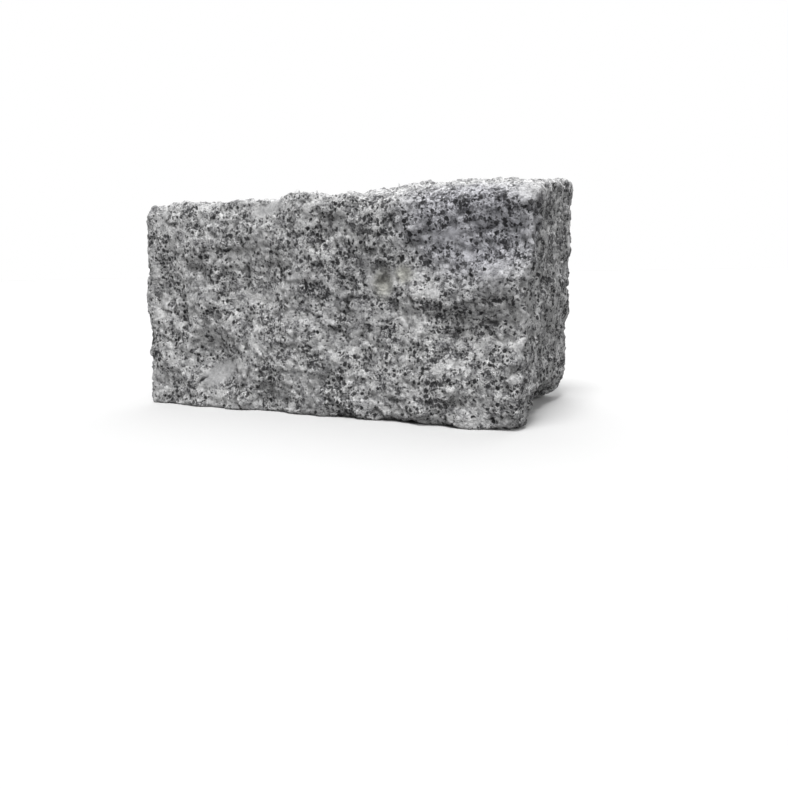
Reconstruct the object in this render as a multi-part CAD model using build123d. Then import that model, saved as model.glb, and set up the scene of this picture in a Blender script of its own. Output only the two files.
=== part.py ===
from build123d import *
from functools import cache
from itertools import product
from math import cos, floor, radians, sin, sqrt
from random import Random
from typing import NamedTuple
import os

# A rough-split granite walling block, lying on its bed.
# The stone is one piece, broken from the rock on all six sides. Its skin is a net of small flat
# facets, as a hackly fracture has, laid over a block whose eight corners are out of true. The skin
# carries the broad hollows and swells of each side, the tilted break faces with steps between them,
# worn arrises, the scars of struck-off flakes and the few high spots of the bed that the stone stands on.
# Frame: X along the length, Y from front to back, Z up. The origin is under the middle of the block.

# Driving sizes, in millimetres
LENGTH = 400.0          # left end to right end
DEPTH = 180.0           # front to back
HEIGHT = 200.0          # bed to top
FACET = 9.5             # size of one facet of the fracture
BREAK_FACE = 33.0       # size of one break face, where the crack ran on along one plane
ARRIS_FACET = 5.0       # width of the narrow facets beside an arris
ARRIS_ROUND = 6.0       # mean radius of a worn arris
ARRIS_CHANGE = 3.0      # how far that radius goes up and down along an arris
ARRIS_WAVE = 60.0       # length of one such change along the arris
BED_LIFT = 3.0          # how far the rough bed lies above the high spots that carry the stone
RELIEF_REACH = 45.0     # how far inside a side the block still follows the side's swells and hollows

# How far each corner of the split block is out of true, in millimetres along X, Y and Z
CORNERS = {
    ("left", "front", "bed"): (-4.5, 0.0, -3.0),
    ("left", "front", "top"): (10.0, 0.0, 0.0),
    ("right", "front", "bed"): (-5.0, 0.0, -3.0),
    ("right", "front", "top"): (9.0, 0.0, -4.0),
    ("left", "back", "bed"): (-1.0, 2.0, 0.0),
    ("left", "back", "top"): (4.0, -3.0, 6.0),
    ("right", "back", "bed"): (-4.0, 3.0, 0.0),
    ("right", "back", "top"): (2.0, 0.0, 20.0),
}

# The uneven fracture
UNEVENNESS = ((90.0, 2.4), (38.0, 1.5), (17.0, 0.9))    # wavelength and height of each scale, in mm
BREAK_LEAN = 0.14       # rise over run of the steepest break face along each axis
BREAK_STRAY = 0.4       # how far the middle of a break face strays, as a share of its size
BREAK_STEP = 0.25       # width of the step between two break faces, as a share of their size
PATTERN_TURN = 35.0     # degrees that the pattern is turned, so that it doesn't follow the block
FACET_JITTER = 0.25     # how far a facet's corner strays within the net, as a share of a facet
STONE = 15              # another whole number splits another stone of the same form


class Swell(NamedTuple):
    """A swell of one side or, with a negative height, a hollow. Its place is a share of the side."""

    side: str
    along: float        # place along X, or along Y on an end
    across: float       # place along Z, or along Y on the bed and top
    half_length: float
    half_width: float
    height: float
    turn: float = 0     # degrees that its length is turned from X towards the other axis


class Scar(NamedTuple):
    """The hollow scar of a flake struck off an arris or a corner. Its place is a share of the block."""

    place: tuple        # X, Y and Z
    outward: tuple      # the way the flake came off
    length: float
    depth: float


SWELLS = (
    Swell("front", 0.33, 0.60, 42, 48, -7.0),
    Swell("front", 0.14, 0.84, 50, 28, 3.0),
    Swell("front", 0.22, 0.17, 38, 20, -3.5, 25),
    Swell("front", 0.45, 0.30, 60, 40, 4.0, 20),
    Swell("front", 0.66, 0.47, 46, 50, -7.0),
    Swell("front", 0.86, 0.76, 62, 38, -8.5),
    Swell("front", 0.86, 0.60, 66, 18, 7.0, 12),
    Swell("front", 0.90, 0.40, 44, 28, -7.5, 12),
    Swell("front", 0.78, 0.18, 70, 30, 4.5),
    Swell("front", 0.89, 0.03, 22, 20, 3.0),
    Swell("back", 0.25, 0.45, 90, 60, 5.0, 30),
    Swell("back", 0.60, 0.70, 60, 45, -6.0),
    Swell("back", 0.80, 0.30, 70, 40, 5.0, -20),
    Swell("right", 0.22, 0.80, 16, 90, -7.0),
    Swell("right", 0.60, 0.60, 30, 60, 3.0),
    Swell("right", 0.45, 0.30, 24, 40, -3.0),
    Swell("right", 0.95, 0.48, 40, 70, 4.0),
    Swell("left", 0.40, 0.60, 60, 50, -5.0),
    Swell("left", 0.70, 0.20, 50, 40, 4.5),
    Swell("top", 0.30, 0.00, 26, 30, 3.0),
    Swell("top", 0.45, 0.02, 24, 34, 6.0),
    Swell("top", 0.56, 0.02, 18, 30, 3.0),
    Swell("top", 0.82, 0.32, 100, 60, 7.5),
    Swell("top", 0.30, 0.65, 80, 45, -5.0, 25),
    Swell("bed", 0.10, 0.12, 60, 34, 7.0),
    Swell("bed", 0.30, 0.00, 50, 16, 4.0),
    Swell("bed", 0.90, 0.08, 44, 30, 6.0),
    Swell("bed", 0.52, 0.02, 30, 24, 5.0),
    Swell("bed", 0.14, 0.86, 50, 34, 8.0),
    Swell("bed", 0.76, 0.84, 54, 34, 8.0),
    Swell("bed", 0.40, 0.50, 90, 40, -4.0, 20),
)

SCARS = (
    Scar((0.20, 0.0, 0.17), (0.2, -1, 0.4), 46, 5.0),
    Scar((0.36, 0.0, 0.97), (0, -1, 0.3), 50, 4.0),
    Scar((0.63, 0.0, 1.0), (0, -1, 1), 40, 5.0),
    Scar((0.90, 0.0, 1.0), (0, -1, 1), 110, 4.0),
    Scar((0.0, 0.0, 1.0), (-1, -1, 1), 34, 6.0),
    Scar((0.0, 0.0, 0.70), (-1, -1, 0), 26, 2.5),
    Scar((1.0, 0.0, 0.55), (1, -1, 0), 56, 5.0),
    Scar((1.0, 0.0, 0.0), (1, -1, -1), 56, 12.0),
    Scar((1.0, 0.55, 0.0), (1, 0, -1), 150, 22.0),
    Scar((1.0, 1.0, 0.0), (1, 1, -1), 90, 21.0),
    Scar((0.41, 0.0, 0.0), (0, -1, -1), 40, 7.0),
    Scar((0.60, 0.0, 0.0), (0, -1, -1), 46, 7.5),
    Scar((0.82, 0.0, 0.0), (0, -1, -1), 44, 6.0),
    Scar((0.30, 1.0, 1.0), (0, 1, 1), 90, 9.0),
    Scar((0.75, 1.0, 0.0), (0, 1, -1), 80, 9.0),
    Scar((0.0, 1.0, 0.45), (-1, 1, 0), 70, 8.0),
    Scar((0.0, 0.55, 1.0), (-1, 0, 1), 50, 6.0),
)

SIZE = (LENGTH, DEPTH, HEIGHT)
ENDS = (("left", "right"), ("front", "back"), ("bed", "top"))   # the two sides across X, Y and Z


@cache
def scatter(*key):
    """A fixed pseudo-random number from -1 to 1 for one point of a net."""
    return Random(str((STONE, *key))).uniform(-1, 1)


def turned(point):
    """The point in the fracture pattern's own directions."""
    return Vector(*point).rotate(Axis.X, PATTERN_TURN).rotate(Axis.Z, PATTERN_TURN)


def wave(point, wavelength, *key):
    """Smooth noise from -1 to 1, with about that wavelength."""
    cell = [c / (wavelength / 2) for c in turned(point)]
    base = [floor(c) for c in cell]
    share = [c - b for c, b in zip(cell, base)]
    ease = [s * s * (3 - 2 * s) for s in share]
    total = 0.0
    for dx in (0, 1):
        for dy in (0, 1):
            for dz in (0, 1):
                weight = 1.0
                for d, e in zip((dx, dy, dz), ease):
                    weight *= e if d else 1 - e
                total += weight * scatter(base[0] + dx, base[1] + dy, base[2] + dz, *key)
    return total


def unevenness(point, axis):
    """Height of the fracture's general unevenness at a point of the two sides across one axis."""
    return sum(
        height * wave(point, wavelength, "fracture", axis, scale)
        for scale, (wavelength, height) in enumerate(UNEVENNESS)
    )


def break_height(point, axis):
    """Height of the break face that a point of the two sides across one axis lies on.

    A break face holds the points that lie nearest to its middle. Where another middle is about as
    near, the point lies on the step between the two faces.
    """
    place = [c / BREAK_FACE for c in turned(point)]
    faces = []
    for move in product((-1, 0, 1), repeat=3):
        cell = [floor(c) + m for c, m in zip(place, move)]
        middle = [n + 0.5 + BREAK_STRAY * scatter(*cell, "middle", a) for a, n in enumerate(cell)]
        away = [c - m for c, m in zip(place, middle)]
        faces.append((sqrt(sum(a * a for a in away)), cell, away))
    nearest = min(faces)[0]
    total = weights = 0.0
    for distance, cell, away in faces:
        weight = max(0.0, 1 - (distance - nearest) / BREAK_STEP)
        if weight > 0:
            lean = [BREAK_LEAN * scatter(*cell, "lean", axis, a) for a in range(3)]
            total += weight * BREAK_FACE * sum(a * slope for a, slope in zip(away, lean))
            weights += weight
    return total / weights


def swelling(side, axis, place):
    """Height of a side's hollows and swells at a place. The side lies across the axis."""
    first, second = [a for a in range(3) if a != axis]
    total = 0.0
    for s in SWELLS:
        if s.side != side:
            continue
        along = place[first] - s.along * SIZE[first]
        across = place[second] - s.across * SIZE[second]
        turn = radians(s.turn)
        a = (along * cos(turn) + across * sin(turn)) / s.half_length
        b = (across * cos(turn) - along * sin(turn)) / s.half_width
        reach = a * a + b * b
        if reach < 1:
            total += s.height * (1 - reach)
    return total


def relief(side, axis, face, place):
    """How far a side's uneven surface carries a place outward. This fades out inside the block."""
    fade = 1 - abs(place[axis] - face) / RELIEF_REACH
    if fade <= 0:
        return 0.0
    foot = [face if a == axis else c for a, c in enumerate(place)]
    height = swelling(side, axis, foot) + unevenness(foot, axis) + break_height(foot, axis)
    if side == "bed":
        height -= BED_LIFT
    return height * fade


def stations(size):
    """Where the net's lines cross one axis: narrow facets beside both arrises, even ones between."""
    inner = size - 2 * ARRIS_FACET
    count = max(2, round(inner / FACET))
    return [0.0, *(ARRIS_FACET + inner * n / count for n in range(count + 1)), size]


def strayed(index, lines):
    """A net point's place before the relief: every line inside the arrises wavers a little."""
    place = []
    for axis, (i, line) in enumerate(zip(index, lines)):
        at = line[i]
        if 0 < i < len(line) - 1:
            room = min(at - line[i - 1], line[i + 1] - at)
            at += FACET_JITTER * room * scatter(*index, "stray", axis)
        place.append(at)
    return place


def worn(place):
    """The place on a block whose arrises are rounded, by a radius that changes along them."""
    radius = ARRIS_ROUND + ARRIS_CHANGE * wave(place, ARRIS_WAVE, "arris")
    core = [min(max(c, radius), s - radius) for c, s in zip(place, SIZE)]
    away = [c - q for c, q in zip(place, core)]
    distance = sqrt(sum(d * d for d in away))
    return [q + d * radius / distance for q, d in zip(core, away)]


def out_of_true(shares):
    """How far the skewed corners move a point of the block."""
    shift = [0.0, 0.0, 0.0]
    for names, offset in CORNERS.items():
        weight = 1.0
        for name, pair, share in zip(names, ENDS, shares):
            weight *= share if name == pair[1] else 1 - share
        shift = [s + weight * o for s, o in zip(shift, offset)]
    return shift


def struck(point):
    """The point after the flakes came off: one inside a flake's round scar lies on the scar."""
    for scar in SCARS:
        radius = (scar.length**2 / 4 + scar.depth**2) / (2 * scar.depth)
        corner = [p * s + o for p, s, o in zip(scar.place, SIZE, out_of_true(scar.place))]
        centre = Vector(*corner) + Vector(*scar.outward).normalized() * (radius - scar.depth)
        if (point - centre).length < radius:
            point = centre + (point - centre).normalized() * radius
    return point


def skin_point(index, lines):
    """One corner of the facets, from its place in the net."""
    place = strayed(index, lines)
    shares = [p / s for p, s in zip(place, SIZE)]
    point = [p + o for p, o in zip(worn(place), out_of_true(shares))]
    for axis, (low, high) in enumerate(ENDS):
        point[axis] += relief(high, axis, SIZE[axis], place) - relief(low, axis, 0.0, place)
    x, y, z = struck(Vector(*point))
    return Vector(x, y, max(z, 0.0))


def facet_pair(a, b, c, d):
    """Two facets that fill a net cell with corners a, b, c and d, split along its shorter diagonal."""
    if (a - c).length <= (b - d).length:
        return ((a, b, c), (a, c, d))
    return ((a, b, d), (b, c, d))


def skin():
    """Every facet of the stone, as three corners each."""
    lines = [stations(size) for size in SIZE]
    points = {}
    for axis in range(3):
        first, second = [a for a in range(3) if a != axis]
        for end in (0, len(lines[axis]) - 1):
            for i in range(len(lines[first]) - 1):
                for j in range(len(lines[second]) - 1):
                    cell = []
                    for di, dj in ((0, 0), (1, 0), (1, 1), (0, 1)):
                        index = [0, 0, 0]
                        index[axis], index[first], index[second] = end, i + di, j + dj
                        key = tuple(index)
                        if key not in points:
                            points[key] = skin_point(key, lines)
                        cell.append(points[key])
                    yield from facet_pair(*cell)


def granite_block():
    """The whole stone as one solid, with the origin under its middle."""
    facets = [Face(Wire.make_polygon(corners, close=True)) for corners in skin()]
    stone = Solid(Shell(facets)).clean()
    middle = stone.bounding_box().center()
    return stone.moved(Location((-middle.X, -middle.Y, 0)))


os.makedirs("parts", exist_ok=True)
block = granite_block()
block.label = "granite_block"
export_step(block, "parts/granite_block.step")
print("granite_block", block.bounding_box().size, "volume", round(block.volume))
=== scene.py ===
from math import pi, radians

import bmesh
import bpy
from mathutils import Euler, Matrix, Vector


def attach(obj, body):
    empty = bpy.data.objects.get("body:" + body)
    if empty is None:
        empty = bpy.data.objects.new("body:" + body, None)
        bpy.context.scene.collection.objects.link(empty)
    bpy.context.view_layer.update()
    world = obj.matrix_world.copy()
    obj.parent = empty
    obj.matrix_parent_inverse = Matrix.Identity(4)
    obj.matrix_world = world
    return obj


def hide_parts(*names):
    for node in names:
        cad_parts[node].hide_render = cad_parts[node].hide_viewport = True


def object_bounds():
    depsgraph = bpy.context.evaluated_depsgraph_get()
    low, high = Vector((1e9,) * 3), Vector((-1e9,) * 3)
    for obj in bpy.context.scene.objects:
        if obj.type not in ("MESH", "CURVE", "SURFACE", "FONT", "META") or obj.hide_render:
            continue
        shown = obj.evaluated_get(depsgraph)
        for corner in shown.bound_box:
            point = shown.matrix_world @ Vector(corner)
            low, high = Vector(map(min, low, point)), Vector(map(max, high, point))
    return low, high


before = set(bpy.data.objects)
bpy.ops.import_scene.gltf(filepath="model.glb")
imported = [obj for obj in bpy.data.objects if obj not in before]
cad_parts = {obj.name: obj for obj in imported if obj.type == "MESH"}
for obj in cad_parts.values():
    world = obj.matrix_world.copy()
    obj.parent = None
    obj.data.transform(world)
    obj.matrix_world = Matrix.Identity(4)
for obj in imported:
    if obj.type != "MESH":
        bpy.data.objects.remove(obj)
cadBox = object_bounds()
print("the packed stone is loaded")


# helpers for building node trees

def feed(tree, socket, value):
    if isinstance(value, bpy.types.NodeSocket):
        tree.links.new(value, socket)
    else:
        socket.default_value = value


def addNode(tree, kind, inputs=None, **settings):
    node = tree.nodes.new(kind)
    for name, value in settings.items():
        setattr(node, name, value)
    for name, value in (inputs or {}).items():
        feed(tree, node.inputs[name], value)
    return node


def doMath(tree, operation, *values):
    node = addNode(tree, "ShaderNodeMath", dict(enumerate(values)), operation=operation)
    return node.outputs["Value"]


def combine(tree, operation, values):
    result = values[0]
    for value in values[1:]:
        result = doMath(tree, operation, result, value)
    return result


def addShare(tree, base, value, share):
    return doMath(tree, "ADD", base, doMath(tree, "MULTIPLY", value, share))


def lessen(tree, value, share):
    return doMath(tree, "MULTIPLY", value, doMath(tree, "SUBTRACT", 1.0, share))


def doVector(tree, operation, *values, **named):
    inputs = {**dict(enumerate(values)), **named}
    node = addNode(tree, "ShaderNodeVectorMath", inputs, operation=operation)
    return node.outputs["Value" if operation in ("DOT_PRODUCT", "LENGTH") else "Vector"]


def remap(tree, value, fromLow, fromHigh, toLow=0.0, toHigh=1.0, smooth=False):
    inputs = {"Value": value, "From Min": fromLow, "From Max": fromHigh,
              "To Min": toLow, "To Max": toHigh}
    kind = "SMOOTHSTEP" if smooth else "LINEAR"
    return addNode(tree, "ShaderNodeMapRange", inputs, interpolation_type=kind).outputs["Result"]


def noise(tree, place, size, detail=2.0, roughness=0.5):
    scale = doMath(tree, "DIVIDE", 1.0, size)
    inputs = {"Vector": place, "Scale": scale, "Detail": detail, "Roughness": roughness}
    return addNode(tree, "ShaderNodeTexNoise", inputs)


def driftOf(tree, place, size, detail, roughness):
    # a vector around zero that changes from place to place
    vectors = noise(tree, place, size, detail, roughness).outputs["Color"]
    return doVector(tree, "SUBTRACT", vectors, (0.5, 0.5, 0.5))


def moveBy(tree, place, drift, reach):
    return doVector(tree, "ADD", place, doVector(tree, "SCALE", drift, Scale=reach))


def grains(tree, place, size):
    scale = doMath(tree, "DIVIDE", 1.0, size)
    return addNode(tree, "ShaderNodeTexVoronoi", {"Vector": place, "Scale": scale})


def tiltOf(tree, place, cell):
    # each cell of a Voronoi pattern breaks along a plane of its own tilt
    fromMiddle = doVector(tree, "SUBTRACT", place, cell.outputs["Position"])
    lean = doVector(tree, "SUBTRACT", cell.outputs["Color"], (0.5, 0.5, 0.5))
    return doVector(tree, "DOT_PRODUCT", fromMiddle, lean)


def spotAround(tree, place, spot):
    # 1 in the middle of a spot of the stone, 0 past its reach
    away = doVector(tree, "SUBTRACT", place, spot["middle"])
    turned = addNode(tree, "ShaderNodeVectorRotate",
                     {"Vector": away, "Angle": radians(spot["turn"])},
                     rotation_type="Y_AXIS").outputs["Vector"]
    distance = doVector(tree, "LENGTH", doVector(tree, "DIVIDE", turned, spot["reach"]))
    return remap(tree, distance, 1.0, spot["core"], smooth=True)


def anySpot(tree, place, spots):
    return combine(tree, "MAXIMUM", [spotAround(tree, place, spot) for spot in spots])


# the split skin of the stone, with lengths in metres

stone = {
    "mergeDistance": 0.00002,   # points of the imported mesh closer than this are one
    "pointSpacing": 0.0016,     # between the points of the skin while it is split
    "facesKept": 190000,        # triangles of the finished skin
    "softening": 5,             # rounds that soften the flat facets
    "seed": 4,                  # another number breaks the skin another way
    "lumpSize": 0.024,          # broad unevenness
    "lumpHeight": 0.0016,
    "ledgeSize": 0.0145,        # tilted break faces with steps between them
    "ledgeTilt": 0.25,
    "chipSize": 0.0080,         # small break faces
    "chipTilt": 0.27,
    "crystalSize": 0.0044,      # single crystals
    "crystalTilt": 0.28,
    "ribSize": 0.0095,          # narrow upright break faces on the two ends
    "ribTilt": 0.52,
    "ribSquash": 0.45,          # lower makes the ribs longer
    "roughSize": 0.005,         # fine roughness
    "roughHeight": 0.0010,
    "topRoughness": 1.4,        # relief of the upper side against the front's
    "sideStart": 0.5,           # skin that faces up or sideways so far counts as top or end
    "sideFull": 0.85,           # and here it counts in full
    "wander": 0.006,            # how far the outlines of the break faces wander
    "wear": 0.45,               # how much of the relief is worn off the arrises
    "wearRounds": 24,           # more rounds find broader arrises to wear
    "shadeRounds": 20,           # more rounds find broader pits to darken with painted shade
    "arrisStart": 0.0006,       # a place that stands out so far starts to wear
    "arrisFull": 0.0022,        # and here its wear is full
    "scarSmoothness": 0.85,     # how much of the relief a smooth scar lacks
    "crackDepth": 0.0018,
}

# places where a flake left a smooth scar, in the stone's own frame; turn is in degrees
smoothScars = (
    {"middle": (-0.115, -0.093, 0.035), "reach": (0.034, 0.040, 0.014), "core": 0.50, "turn": 27},
    {"middle": (-0.043, -0.093, 0.193), "reach": (0.026, 0.040, 0.008), "core": 0.40, "turn": 14},
    {"middle": (0.133, -0.093, 0.162), "reach": (0.014, 0.040, 0.008), "core": 0.20, "turn": 10},
)

# a short crack at the low end of the first scar, and two crevices, cut in and darkened with painted
# shade
cracks = (
    {"middle": (-0.135, -0.093, 0.0275), "reach": (0.0105, 0.040, 0.0022), "core": 0.1, "turn": 34},
    {"middle": (-0.072, -0.093, 0.137), "reach": (0.0035, 0.040, 0.0100), "core": 0.1, "turn": 12},
    {"middle": (0.168, -0.093, 0.090), "reach": (0.0120, 0.040, 0.0036), "core": 0.1, "turn": -10},
)

# what the node tree of the skin is given
splitNumbers = {
    "Lump Size": stone["lumpSize"], "Lump Height": stone["lumpHeight"],
    "Ledge Size": stone["ledgeSize"], "Ledge Tilt": stone["ledgeTilt"],
    "Chip Size": stone["chipSize"], "Chip Tilt": stone["chipTilt"],
    "Crystal Size": stone["crystalSize"], "Crystal Tilt": stone["crystalTilt"],
    "Rib Size": stone["ribSize"], "Rib Tilt": stone["ribTilt"],
    "Rough Size": stone["roughSize"], "Rough Height": stone["roughHeight"],
    "Top Roughness": stone["topRoughness"], "Wander": stone["wander"], "Wear": stone["wear"],
    "Scar Smoothness": stone["scarSmoothness"], "Crack Depth": stone["crackDepth"],
    "Seed": float(stone["seed"]),
}
splitCorners = {"Lowest Corner": cadBox[0], "Highest Corner": cadBox[1]}


def unevenness(tree, place, size, height, detail):
    level = doMath(tree, "SUBTRACT", noise(tree, place, size, detail).outputs[0], 0.5)
    return doMath(tree, "MULTIPLY", level, height)


def tiltedFaces(tree, place, size, tilt):
    return doMath(tree, "MULTIPLY", tiltOf(tree, place, grains(tree, place, size)), tilt)


def standingOut(tree, rounds):
    # how far each point stands above its surroundings: arrises are high, pits are low
    spot = tree.nodes.new("GeometryNodeInputPosition").outputs["Position"]
    around = addNode(tree, "GeometryNodeBlurAttribute", data_type="FLOAT_VECTOR")
    value = next(s for s in around.inputs if s.name == "Value" and s.type == "VECTOR" and s.enabled)
    tree.links.new(spot, value)
    around.inputs["Iterations"].default_value = rounds
    blurred = next(s for s in around.outputs if s.type == "VECTOR" and s.enabled)
    outward = tree.nodes.new("GeometryNodeInputNormal").outputs["Normal"]
    return doVector(tree, "DOT_PRODUCT", doVector(tree, "SUBTRACT", spot, blurred), outward)


def splitHeight(tree, given, place, upward, onEnd):
    # the patterns are moved by the seed, and their outlines wander
    shift = addNode(tree, "ShaderNodeCombineXYZ", {"X": given["Seed"], "Y": given["Seed"]})
    moved = doVector(tree, "ADD", place, shift.outputs["Vector"])
    drift = driftOf(tree, moved, given["Ledge Size"], detail=3.0, roughness=0.5)
    wandering = moveBy(tree, moved, drift, given["Wander"])
    height = combine(tree, "ADD", (
        unevenness(tree, moved, given["Lump Size"], given["Lump Height"], detail=3.0),
        unevenness(tree, moved, given["Rough Size"], given["Rough Height"], detail=2.0),
        tiltedFaces(tree, wandering, given["Ledge Size"], given["Ledge Tilt"]),
        tiltedFaces(tree, wandering, given["Chip Size"], given["Chip Tilt"]),
        tiltedFaces(tree, wandering, given["Crystal Size"], given["Crystal Tilt"]),
    ))

    # the upper side is rougher than the front, and the two ends broke into upright ribs
    rougher = remap(tree, upward, stone["sideStart"], stone["sideFull"], 1.0, given["Top Roughness"])
    height = doMath(tree, "MULTIPLY", height, rougher)
    ribPlace = doVector(tree, "MULTIPLY", wandering, (1.0, 1.0, stone["ribSquash"]))
    ribs = tiltedFaces(tree, ribPlace, given["Rib Size"], given["Rib Tilt"])
    height = addShare(tree, height, ribs, onEnd)

    # the arrises are worn, the scars of flakes are smooth, and the cracks are cut in
    arris = remap(tree, standingOut(tree, stone["wearRounds"]),
                  stone["arrisStart"], stone["arrisFull"], smooth=True)
    height = lessen(tree, height, doMath(tree, "MULTIPLY", arris, given["Wear"]))
    smooth = doMath(tree, "MULTIPLY", anySpot(tree, place, smoothScars), given["Scar Smoothness"])
    height = lessen(tree, height, smooth)
    cut = doMath(tree, "MULTIPLY", anySpot(tree, place, cracks), given["Crack Depth"])
    return doMath(tree, "SUBTRACT", height, cut)


def makeSplitTree():
    tree = bpy.data.node_groups.new("splitSkin", "GeometryNodeTree")
    tree.interface.new_socket("Geometry", in_out="INPUT", socket_type="NodeSocketGeometry")
    for name in splitNumbers:
        tree.interface.new_socket(name, in_out="INPUT", socket_type="NodeSocketFloat")
    for name in splitCorners:
        tree.interface.new_socket(name, in_out="INPUT", socket_type="NodeSocketVector")
    tree.interface.new_socket("Material", in_out="INPUT", socket_type="NodeSocketMaterial")
    tree.interface.new_socket("Geometry", in_out="OUTPUT", socket_type="NodeSocketGeometry")
    given = tree.nodes.new("NodeGroupInput").outputs

    place = tree.nodes.new("GeometryNodeInputPosition").outputs["Position"]
    normal = tree.nodes.new("GeometryNodeInputNormal").outputs["Normal"]
    facing = addNode(tree, "ShaderNodeSeparateXYZ", {"Vector": normal}).outputs
    sideways = doMath(tree, "ABSOLUTE", facing["X"])
    onEnd = remap(tree, sideways, stone["sideStart"], stone["sideFull"], smooth=True)
    height = splitHeight(tree, given, place, facing["Z"], onEnd)

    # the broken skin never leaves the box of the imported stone
    broken = moveBy(tree, place, normal, height)
    broken = doVector(tree, "MAXIMUM", broken, given["Lowest Corner"])
    broken = doVector(tree, "MINIMUM", broken, given["Highest Corner"])
    skin = addNode(tree, "GeometryNodeSetPosition",
                   {"Geometry": given["Geometry"], "Position": broken})

    # the material asks how far a place stands out and which way its side faces
    marks = {"standing": standingOut(tree, stone["shadeRounds"]),
             "upward": facing["Z"], "endward": onEnd}
    for name, value in marks.items():
        skin = addNode(tree, "GeometryNodeStoreNamedAttribute",
                       {"Geometry": skin.outputs["Geometry"], "Name": name, "Value": value},
                       data_type="FLOAT", domain="POINT")
    shaded = addNode(tree, "GeometryNodeSetShadeSmooth", {"Geometry": skin.outputs["Geometry"]})
    real = addNode(tree, "GeometryNodeRealizeInstances", {"Geometry": shaded.outputs["Geometry"]})
    dressed = addNode(tree, "GeometryNodeSetMaterial",
                      {"Geometry": real.outputs["Geometry"], "Material": given["Material"]})
    output = tree.nodes.new("NodeGroupOutput")
    tree.links.new(dressed.outputs["Geometry"], output.inputs["Geometry"])
    return tree


# the granite, with lengths in metres and linear colors

granite = {
    "grainSize": 0.0085,        # large grains of feldspar and quartz
    "grainletSize": 0.0042,     # the grains between them
    "sugarSize": 0.0014,        # the finest grains
    "smudgeSize": 0.0075,       # pale and dark cloudiness
    "fleckSize": 0.0041,        # room of one large fleck of black mica
    "fleckShare": 0.53,         # how many of those rooms hold a fleck
    "speckSize": 0.0024,        # room of one small fleck
    "speckShare": 0.49,
    "speckCover": 0.9,          # how black the small flecks are
    "blotchSize": 0.0034,       # ragged blotches of mica
    "blotchPull": 0.35,         # how much more of them there are where the mica gathers
    "blotchStart": 0.80,        # lower makes the blotches larger
    "blotchFull": 0.86,
    "blotchCover": 0.9,
    "clumpSize": 0.017,         # the mica gathers in clumps of about this size
    "clumping": 1.3,            # higher gathers it more
    "endMicaAndShade": 0.07,            # how much more mica shows on the two ends, partly painted shade of their crevices
    "seamMica": 0.10,           # and in the seams between the large grains
    "middleMica": -0.06,        # and in the middle of the large grains
    "seamEdge": 0.02,           # a seam is this near to the edge of a grain
    "seamFar": 0.16,            # and its mica thins out up to here, in shares of the grain
    "scarMica": 0.15,           # how much of the mica is left in scars and stains
    "topMica": 0.72,            # and on the upper side
    "palestMica": 0.86,         # and in the grain where it is palest
    "topStart": 0.4,            # skin that faces up so far has paler mica
    "topFull": 0.9,             # and here it is palest
    "driftSize": 0.0036,        # the outlines of the grains wander
    "grainDrift": 0.0050,
    "fleckDrift": 0.0028,
    "streakSize": 0.0085,       # painted shade between the ribs of the ends
    "sandSize": 0.0020,         # fine roughness

    # what the tone of a grain is added up from
    "baseTone": 0.08,
    "smudgeTone": 0.74,
    "grainTone": 0.24,
    "grainletTone": 0.24,
    "clumpTone": -0.26,
    "soundSugarTone": 0.20,     # the finest grains, in sound stone
    "crushedSugarTone": 0.50,   # the finest grains, in crushed stone
    "soundUpTo": 0.35,          # of a noise from 0 to 1
    "crushedFrom": 0.65,
    "darkestTone": 0.16,
    "palestTone": 0.88,

    # outlines of the flecks, as shares of a fleck's room
    "largestFleck": 0.55,
    "vanishingFleck": 0.08,     # smaller flecks don't show
    "smallestFleck": 0.14,      # flecks from this size on show in full
    "raggedness": 0.16,
    "edgeOutside": -0.02,
    "edgeInside": 0.05,

    # how strongly the weather, the painted shade and the painted highlight show
    "scarCover": 0.72,
    "stainCover": 0.45,
    # paler arrises, partly bruised stone and partly a painted highlight
    "bruiseAndHighlight": 0.20,
    "pitShade": 0.6,
    "pitStart": -0.0001,        # a place that lies so deep starts to get painted shade
    "pitFull": -0.0010,         # and here the painted shade is darkest
    "streakShading": 0.45,
    "streakStart": 0.50,        # lower makes the streaks narrower
    "streakFull": 0.36,

    # how the grains stand out and shine
    "grainSteepness": 260.0,
    "grainletSteepness": 420.0,
    "sandRise": 1.5,
    "sugarRise": 0.3,
    "micaRise": -0.5,
    "scarRelief": 0.25,         # how much of the bumps is left in a scar
    "bumpHeight": 0.0011,
    "bumpStrength": 0.9,
    "shiniest": 0.42,           # roughness of the shiniest grain
    "dullest": 0.78,            # and of the dullest
    "micaShine": -0.12,         # what mica adds to the roughness
    "specular": 0.42,

    "quartz": (0.095, 0.095, 0.100, 1.0),
    "grey": (0.280, 0.280, 0.286, 1.0),
    "feldspar": (0.580, 0.580, 0.583, 1.0),
    "white": (0.885, 0.883, 0.880, 1.0),
    "mica": (0.011, 0.011, 0.013, 1.0),
    "scar": (0.400, 0.400, 0.404, 1.0),
    "stain": (0.95, 0.945, 0.86, 1.0),
    "blue": (0.94, 0.94, 1.0, 1.0),
    # painted shade, partly darker stone: the color of the two darker spots on the front
    "shade": (0.83, 0.83, 0.835, 1.0),
    # painted shade: the grey that darkens the pits and the streaks on the two ends
    "paintedShade": (0.3, 0.3, 0.3, 1.0),
}

# where each color lies between the darkest tone, 0, and the palest, 1
tonePlaces = {"quartz": 0.10, "grey": 0.32, "feldspar": 0.58, "white": 0.95}

# where the front is tinted: two olive spots and a bluish one from weathering, and two darker ones,
# partly darker stone and partly painted shade
stainSpots = (
    {"middle": (0.070, -0.093, 0.123), "reach": (0.014, 0.050, 0.020), "core": 0.2, "turn": 0},
    {"middle": (0.090, -0.093, 0.131), "reach": (0.013, 0.050, 0.012), "core": 0.2, "turn": 0},
)
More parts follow.
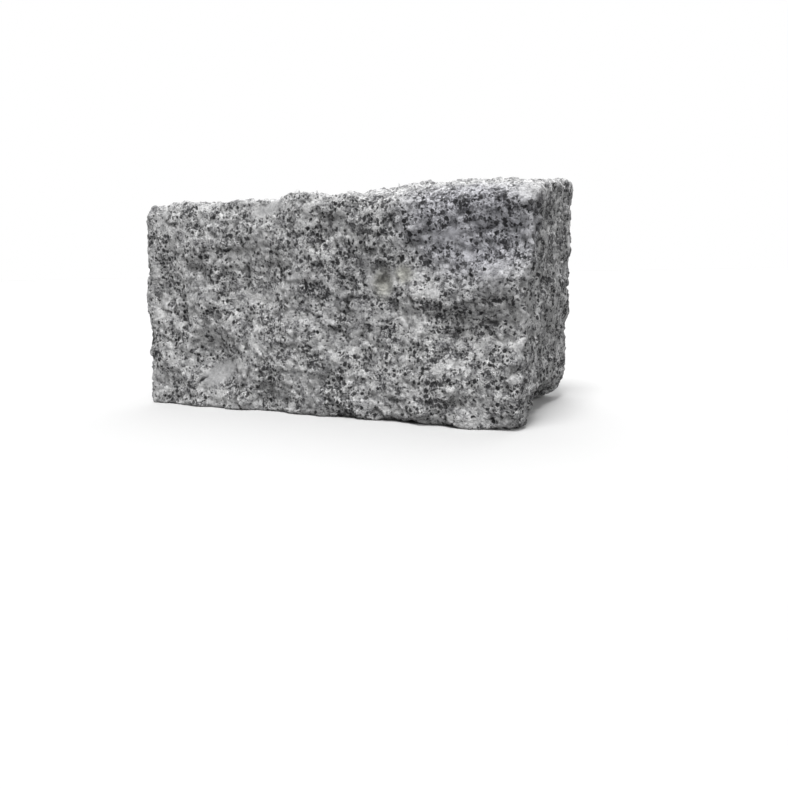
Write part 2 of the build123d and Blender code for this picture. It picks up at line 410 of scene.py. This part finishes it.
# the two darker spots: partly darker stone, partly painted shade
paintedShadeSpots = (
    {"middle": (0.028, -0.093, 0.112), "reach": (0.065, 0.060, 0.060), "core": 0.3, "turn": 0},
    {"middle": (0.152, -0.093, 0.124), "reach": (0.055, 0.060, 0.028), "core": 0.3, "turn": 0},
)
blueSpots = (
    {"middle": (0.150, -0.093, 0.168), "reach": (0.085, 0.060, 0.055), "core": 0.4, "turn": -8},
)


def mixColors(tree, how, factor, first, second):
    node = addNode(tree, "ShaderNodeMix", data_type="RGBA", blend_type=how)
    for place, value in ((0, factor), (6, first), (7, second)):
        feed(tree, node.inputs[place], value)
    return node.outputs[2]


def chancesOf(tree, cell):
    # three random numbers of each grain
    return addNode(tree, "ShaderNodeSeparateColor", {"Color": cell.outputs["Color"]}).outputs


def skinValue(tree, name):
    return addNode(tree, "ShaderNodeAttribute", attribute_name=name).outputs["Fac"]


def findPatterns(tree):
    # the patterns that the colors, the mica and the bumps share
    place = tree.nodes.new("ShaderNodeTexCoord").outputs["Object"]
    drift = driftOf(tree, place, granite["driftSize"], detail=3.0, roughness=0.6)
    wandering = moveBy(tree, place, drift, granite["grainDrift"])
    grain = grains(tree, wandering, granite["grainSize"])
    grainlet = grains(tree, wandering, granite["grainletSize"])
    return {
        "place": place,
        "wandering": wandering,
        "steadier": moveBy(tree, place, drift, granite["fleckDrift"]),
        "grain": grain,
        "grainlet": grainlet,
        "grainChances": chancesOf(tree, grain),
        "grainletChances": chancesOf(tree, grainlet),
        "sugarChances": chancesOf(tree, grains(tree, wandering, granite["sugarSize"])),
        "clumps": noise(tree, place, granite["clumpSize"], 2.0, 0.6).outputs[0],
        "scarred": anySpot(tree, wandering, smoothScars),
        "stained": anySpot(tree, wandering, stainSpots),
        "endward": skinValue(tree, "endward"),
    }


def feldsparColor(tree, patterns):
    # quartz, grey and white feldspar, sugary where the stone is crushed
    smudge = noise(tree, patterns["wandering"], granite["smudgeSize"], 4.0, 0.7).outputs[0]
    crushed = noise(tree, patterns["place"], granite["clumpSize"], 1.0).outputs[0]
    sugar = doMath(tree, "SUBTRACT", patterns["sugarChances"][0], 0.5)
    sugarTone = remap(tree, crushed, granite["soundUpTo"], granite["crushedFrom"],
                      granite["soundSugarTone"], granite["crushedSugarTone"])
    tone = addShare(tree, granite["baseTone"], smudge, granite["smudgeTone"])
    tone = addShare(tree, tone, patterns["grainChances"][0], granite["grainTone"])
    tone = addShare(tree, tone, patterns["grainletChances"][0], granite["grainletTone"])
    tone = addShare(tree, tone, sugar, sugarTone)
    tone = addShare(tree, tone, patterns["clumps"], granite["clumpTone"])
    tone = remap(tree, tone, granite["darkestTone"], granite["palestTone"])

    ramp = addNode(tree, "ShaderNodeValToRGB", {"Fac": tone})
    darkest, palest = ramp.color_ramp.elements
    darkest.position, darkest.color = tonePlaces["quartz"], granite["quartz"]
    palest.position, palest.color = tonePlaces["white"], granite["white"]
    for name in ("grey", "feldspar"):
        ramp.color_ramp.elements.new(tonePlaces[name]).color = granite[name]

    # the smooth scars show crushed grey stone
    covered = doMath(tree, "MULTIPLY", patterns["scarred"], granite["scarCover"])
    return mixColors(tree, "MIX", covered, ramp.outputs["Color"], granite["scar"])


def flecks(tree, place, size, share, gathered, ragged):
    # ragged flecks in some cells of a Voronoi pattern, larger where the mica gathers; gathered is
    # about 0.5, so a fleck starts above 1.5 less the share of the cells that hold one
    cell = grains(tree, place, size)
    chance = doMath(tree, "ADD", chancesOf(tree, cell)[0], gathered)
    radius = remap(tree, chance, 1.5 - share, 2.0 - share, 0.0, granite["largestFleck"])
    edge = doMath(tree, "MULTIPLY", doMath(tree, "SUBTRACT", ragged, 0.5), granite["raggedness"])
    inside = doMath(tree, "SUBTRACT", doMath(tree, "ADD", radius, edge), cell.outputs["Distance"])
    shape = remap(tree, inside, granite["edgeOutside"], granite["edgeInside"])
    shown = remap(tree, radius, granite["vanishingFleck"], granite["smallestFleck"])
    return doMath(tree, "MULTIPLY", shape, shown)


def micaShare(tree, patterns):
    # the mica gathers in clumps, between the large grains and on the two ends, where the extra mica is
    # partly painted shade
    seam = addNode(tree, "ShaderNodeTexVoronoi",
                   {"Vector": patterns["wandering"], "Scale": 1 / granite["grainSize"]},
                   feature="DISTANCE_TO_EDGE").outputs["Distance"]
    between = remap(tree, seam, granite["seamFar"], granite["seamEdge"],
                    granite["middleMica"], granite["seamMica"])
    spread = granite["clumping"] / 2
    gathered = remap(tree, patterns["clumps"], 0.0, 1.0, 0.5 - spread, 0.5 + spread)
    gathered = doMath(tree, "ADD", gathered, between)
    gathered = addShare(tree, gathered, patterns["endward"], granite["endMicaAndShade"])

    # large flecks, small ones and ragged blotches
    ragged = patterns["sugarChances"][1]
    large = flecks(tree, patterns["steadier"], granite["fleckSize"], granite["fleckShare"],
                   gathered, ragged)
    small = flecks(tree, patterns["steadier"], granite["speckSize"], granite["speckShare"],
                   gathered, ragged)
    blotch = noise(tree, patterns["wandering"], granite["blotchSize"], 3.0, 0.65).outputs[0]
    blotch = addShare(tree, blotch, gathered, granite["blotchPull"])
    blotches = remap(tree, blotch, granite["blotchStart"], granite["blotchFull"],
                     0.0, granite["blotchCover"])
    small = doMath(tree, "MULTIPLY", small, granite["speckCover"])
    mica = combine(tree, "MAXIMUM", (large, small, blotches))

    # little mica in scars and stains, and paler mica on the upper side and in some grains
    spared = doMath(tree, "MAXIMUM", patterns["scarred"], patterns["stained"])
    upward = skinValue(tree, "upward")
    mica = combine(tree, "MULTIPLY", (
        mica,
        remap(tree, spared, 0.0, 0.8, 1.0, granite["scarMica"]),
        remap(tree, upward, granite["topStart"], granite["topFull"], 1.0, granite["topMica"]),
        remap(tree, patterns["grainChances"][2], 0.0, 1.0, granite["palestMica"], 1.0),
    ))
    # the cracks and crevices are painted black like mica: painted shade
    return doMath(tree, "MAXIMUM", mica, anySpot(tree, patterns["wandering"], cracks))


def weatherAndPaintedLight(tree, patterns, color):
    # faint olive and bluish tints, and darker patches that are partly darker stone, partly painted
    # shade
    place, stained = patterns["wandering"], patterns["stained"]
    faded = doMath(tree, "MULTIPLY", stained, granite["stainCover"])
    color = mixColors(tree, "MIX", faded, color, granite["feldspar"])
    color = mixColors(tree, "MULTIPLY", stained, color, granite["stain"])
    color = mixColors(tree, "MULTIPLY", anySpot(tree, place, paintedShadeSpots), color, granite["shade"])
    color = mixColors(tree, "MULTIPLY", anySpot(tree, place, blueSpots), color, granite["blue"])

    # paler arrises: partly bruised stone, partly a painted highlight
    standing = skinValue(tree, "standing")
    arrisBruiseAndHighlight = remap(tree, standing, stone["arrisStart"], stone["arrisFull"],
                   0.0, granite["bruiseAndHighlight"], smooth=True)
    color = mixColors(tree, "MIX", arrisBruiseAndHighlight, color, granite["feldspar"])

    # painted shade in the pits, and in streaks on the two ends
    pits = remap(tree, standing, granite["pitStart"], granite["pitFull"],
                 0.0, granite["pitShade"], smooth=True)
    # painted shade in upright streaks on the two ends
    upright = doVector(tree, "MULTIPLY", place, (1.0, 1.0, stone["ribSquash"]))
    streaks = noise(tree, upright, granite["streakSize"]).outputs[0]
    streaks = remap(tree, streaks, granite["streakStart"], granite["streakFull"])
    streaks = combine(tree, "MULTIPLY", (streaks, patterns["endward"], granite["streakShading"]))
    shadedColor = mixColors(tree, "MULTIPLY", 1.0, color, granite["paintedShade"])
    return mixColors(tree, "MIX", doMath(tree, "MAXIMUM", pits, streaks), color, shadedColor)


def grainBumps(tree, patterns, mica):
    # every grain breaks along its own plane, and mica leaves pits
    sand = noise(tree, patterns["place"], granite["sandSize"], 4.0, 0.7).outputs[0]
    grainTilt = tiltOf(tree, patterns["wandering"], patterns["grain"])
    grainletTilt = tiltOf(tree, patterns["wandering"], patterns["grainlet"])
    height = doMath(tree, "MULTIPLY", grainTilt, granite["grainSteepness"])
    height = addShare(tree, height, grainletTilt, granite["grainletSteepness"])
    height = addShare(tree, height, sand, granite["sandRise"])
    height = addShare(tree, height, patterns["sugarChances"][2], granite["sugarRise"])
    height = addShare(tree, height, mica, granite["micaRise"])
    flatter = remap(tree, patterns["scarred"], 0.0, 1.0, 1.0, granite["scarRelief"])
    height = doMath(tree, "MULTIPLY", height, flatter)
    inputs = {"Height": height, "Distance": granite["bumpHeight"], "Strength": granite["bumpStrength"]}
    return addNode(tree, "ShaderNodeBump", inputs).outputs["Normal"]


def makeGranite():
    material = bpy.data.materials.new("splitGranite")
    material.use_nodes = True
    tree = material.node_tree
    tree.nodes.clear()
    patterns = findPatterns(tree)
    mica = micaShare(tree, patterns)
    color = mixColors(tree, "MIX", mica, feldsparColor(tree, patterns), granite["mica"])

    # cleavage faces and mica shine a little, the rest is dull
    rough = remap(tree, patterns["grainChances"][1], 0.0, 1.0, granite["shiniest"], granite["dullest"])
    shader = addNode(tree, "ShaderNodeBsdfPrincipled", {
        "Base Color": weatherAndPaintedLight(tree, patterns, color),
        "Roughness": addShare(tree, rough, mica, granite["micaShine"]),
        "Normal": grainBumps(tree, patterns, mica),
        "Specular IOR Level": granite["specular"],
    })
    output = tree.nodes.new("ShaderNodeOutputMaterial")
    tree.links.new(shader.outputs["BSDF"], output.inputs["Surface"])
    return material


def keepMesh(piece):
    ready = piece.evaluated_get(bpy.context.evaluated_depsgraph_get())
    plain = bpy.data.meshes.new_from_object(ready)
    piece.modifiers.clear()
    piece.data = plain


def mergedCopy(packed):
    mesh = packed.data.copy()
    shape = bmesh.new()
    shape.from_mesh(mesh)
    bmesh.ops.remove_doubles(shape, verts=shape.verts, dist=stone["mergeDistance"])
    shape.to_mesh(mesh)
    shape.free()
    mesh.materials.clear()
    return mesh


def makeStone():
    piece = bpy.data.objects.new("splitStone", mergedCopy(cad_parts["granite_block"]))
    bpy.context.scene.collection.objects.link(piece)

    # even points, softened facets and the split skin
    even = piece.modifiers.new("evenPoints", "REMESH")
    even.mode = "VOXEL"
    even.voxel_size = stone["pointSpacing"]
    soft = piece.modifiers.new("softFacets", "SMOOTH")
    soft.iterations = stone["softening"]
    split = piece.modifiers.new("splitSkin", "NODES")
    split.node_group = makeSplitTree()
    wanted = {**splitNumbers, **splitCorners, "Material": makeGranite()}
    for socket in split.node_group.interface.items_tree:
        if socket.in_out == "INPUT" and socket.name in wanted:
            split[socket.identifier] = wanted[socket.name]
    keepMesh(piece)

    # fewer faces where the skin is flat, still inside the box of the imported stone
    fewer = piece.modifiers.new("fewerFaces", "DECIMATE")
    triangles = sum(len(face.vertices) - 2 for face in piece.data.polygons)
    fewer.ratio = stone["facesKept"] / triangles
    keepMesh(piece)
    for point in piece.data.vertices:
        point.co = [min(max(c, low), high) for c, low, high in zip(point.co, *cadBox)]

    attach(piece, "root")
    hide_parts("granite_block")
    print("the stone is split:", len(piece.data.vertices), "points,", len(piece.data.polygons), "faces")


makeStone()


# the studio: a pale floor, a white background and soft light from above

studio = {
    "floorSize": 40.0,
    "floorShade": 0.66,         # how pale the floor looks
    "floorBounce": 0.18,        # how pale the floor is to the light that it sends up
    "skyLight": 0.23,
}

# azimuth 0 shines from the front, 90 from the right and 180 from behind, all in degrees
suns = {
    "keyLight": {"strength": 0.95, "azimuth": 4, "elevation": 69, "spread": 24},
    "rearLight": {"strength": 0.38, "azimuth": 190, "elevation": 64, "spread": 50},
    "sideLight": {"strength": 0.27, "azimuth": 46, "elevation": 28, "spread": 16},
}


def makeFloor():
    half = studio["floorSize"] / 2
    mesh = bpy.data.meshes.new("floor")
    mesh.from_pydata([(-half, -half, 0), (half, -half, 0), (half, half, 0), (-half, half, 0)],
                     [], [(0, 1, 2, 3)])
    floor = bpy.data.objects.new("floor", mesh)
    bpy.context.scene.collection.objects.link(floor)
    material = bpy.data.materials.new("paleFloor")
    material.use_nodes = True
    tree = material.node_tree
    tree.nodes.clear()
    seen = tree.nodes.new("ShaderNodeLightPath").outputs["Is Camera Ray"]
    shade = remap(tree, seen, 0.0, 1.0, studio["floorBounce"], studio["floorShade"])
    tint = addNode(tree, "ShaderNodeCombineColor", {"Red": shade, "Green": shade, "Blue": shade})
    diffuse = addNode(tree, "ShaderNodeBsdfDiffuse", {"Color": tint.outputs["Color"]})
    output = tree.nodes.new("ShaderNodeOutputMaterial")
    tree.links.new(diffuse.outputs["BSDF"], output.inputs["Surface"])
    mesh.materials.append(material)


def makeSun(name, strength, azimuth, elevation, spread):
    lamp = bpy.data.lights.new(name, "SUN")
    lamp.energy = strength * pi
    lamp.angle = radians(spread)
    sun = bpy.data.objects.new(name, lamp)
    sun.rotation_euler = (radians(90 - elevation), 0, radians(azimuth))
    bpy.context.scene.collection.objects.link(sun)


def makeSky():
    world = bpy.data.worlds.new("studio")
    bpy.context.scene.world = world
    world.use_nodes = True
    tree = world.node_tree
    tree.nodes.clear()
    path = tree.nodes.new("ShaderNodeLightPath").outputs
    seen = combine(tree, "MAXIMUM", [path[name] for name in ("Is Camera Ray", "Is Glossy Ray",
                                                             "Is Transmission Ray")])
    sky = addNode(tree, "ShaderNodeBackground", {
        "Color": (1.0, 1.0, 1.0, 1.0),
        "Strength": remap(tree, seen, 0.0, 1.0, studio["skyLight"], 1.0),
    })
    output = tree.nodes.new("ShaderNodeOutputWorld")
    tree.links.new(sky.outputs["Background"], output.inputs["Surface"])


makeFloor()
for name, values in suns.items():
    makeSun(name, **values)
makeSky()
print("the studio is lit")


# the camera stands where the photograph was taken from

view = {
    "place": (0.3247, -0.6177, 0.1332),
    "turn": 24.785,             # degrees to the left of straight ahead
    "down": 10.439,
    "roll": -1.034,
    "lens": 30.38,              # millimetres
    "sensor": 36.0,             # millimetres wide
}


def makeCamera():
    data = bpy.data.cameras.new("camera")
    data.sensor_width = view["sensor"]
    data.lens = view["lens"]
    data.clip_start = 0.01
    data.clip_end = 100.0
    camera = bpy.data.objects.new("camera", data)
    aim = Euler((radians(90 - view["down"]), 0, radians(view["turn"]))).to_matrix()
    aim = aim @ Matrix.Rotation(radians(view["roll"]), 3, "Z")
    camera.matrix_world = Matrix.Translation(Vector(view["place"])) @ aim.to_4x4()
    bpy.context.scene.collection.objects.link(camera)
    bpy.context.scene.camera = camera


makeCamera()
bpy.context.scene.view_settings.view_transform = "Standard"
print("the camera is set")
